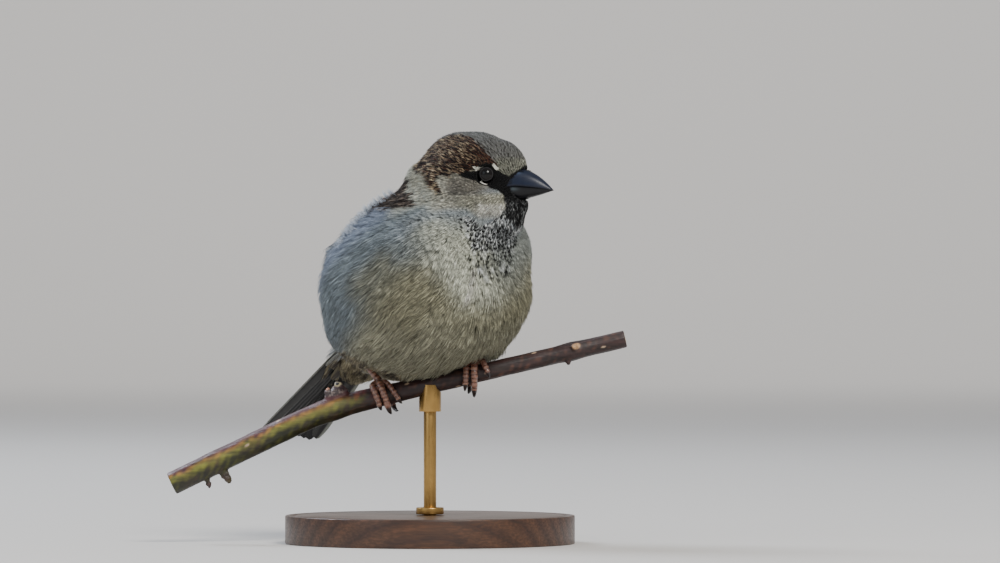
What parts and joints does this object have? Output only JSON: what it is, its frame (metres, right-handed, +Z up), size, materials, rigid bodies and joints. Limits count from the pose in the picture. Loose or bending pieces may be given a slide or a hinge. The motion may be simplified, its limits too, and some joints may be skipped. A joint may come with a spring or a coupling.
{
  "type": "house sparrow",
  "caption": "Life-size male house sparrow, plumage fluffed, head turned to its left, gripping a cut length of sloping twig held on a plain round display stand.",
  "frame": {"origin": "centre of the display base's underside, straight below the point where the twig's axis passes between the bird's feet", "axes": "+Z up; +X along the twig towards its thin, higher end; -Y towards the side the breast faces. The bird's body faces 50 degrees from +X towards -Y, and its head 22 degrees"},
  "size_m": [0.1461, 0.1001, 0.1307],
  "materials": {
    "plumage_grey": "soft, fluffed breast, belly and neck feathers, buff-grey",
    "crown": "grey crown with chestnut sides, black lores and throat, pale cheeks",
    "wing_brown": "chestnut and black-brown feathers with buff edges",
    "tail_brown": "dark brown feathers with narrow paler edges",
    "bill_horn": "satin blue-black horn",
    "eye": "clear wet dark brown",
    "foot_skin": "scaly pinkish brown skin",
    "claw_horn": "satin dark horn",
    "bark": "smooth purple-brown bark, green on the lower side of its thick end",
    "stand_wood": "satin dark wood",
    "stand_brass": "satin"
  },
  "bodies": {
    "root": {"head": "crown", "neck": "plumage_grey", "trunk": "plumage_grey", "tail": "tail_brown", "wing_right_coverts": "wing_brown", "wing_right_secondaries": "wing_brown", "wing_right_primaries": "wing_brown", "wing_left_coverts": "wing_brown", "wing_left_secondaries": "wing_brown", "wing_left_primaries": "wing_brown", "bill_upper": "bill_horn", "bill_lower": "bill_horn", "eye_right": "eye", "eye_left": "eye", "tarsus_right": "foot_skin", "toe_right_inner": "foot_skin", "claw_right_inner": "claw_horn", "toe_right_middle": "foot_skin", "claw_right_middle": "claw_horn", "toe_right_outer": "foot_skin", "claw_right_outer": "claw_horn", "toe_right_hind": "foot_skin", "claw_right_hind": "claw_horn", "tarsus_left": "foot_skin", "toe_left_inner": "foot_skin", "claw_left_inner": "claw_horn", "toe_left_middle": "foot_skin", "claw_left_middle": "claw_horn", "toe_left_outer": "foot_skin", "claw_left_outer": "claw_horn", "toe_left_hind": "foot_skin", "claw_left_hind": "claw_horn", "perch_twig": "bark", "perch_shoot_stub": "bark", "perch_shoot_scar": "bark", "perch_bud": "bark", "perch_bud_scale": "bark", "perch_thorn_thick": "bark", "perch_thorn_thin": "bark", "stand_base": "stand_wood", "stand_rod": "stand_brass", "stand_collar": "stand_brass", "stand_saddle": "stand_brass"}
  },
  "joints": []
}
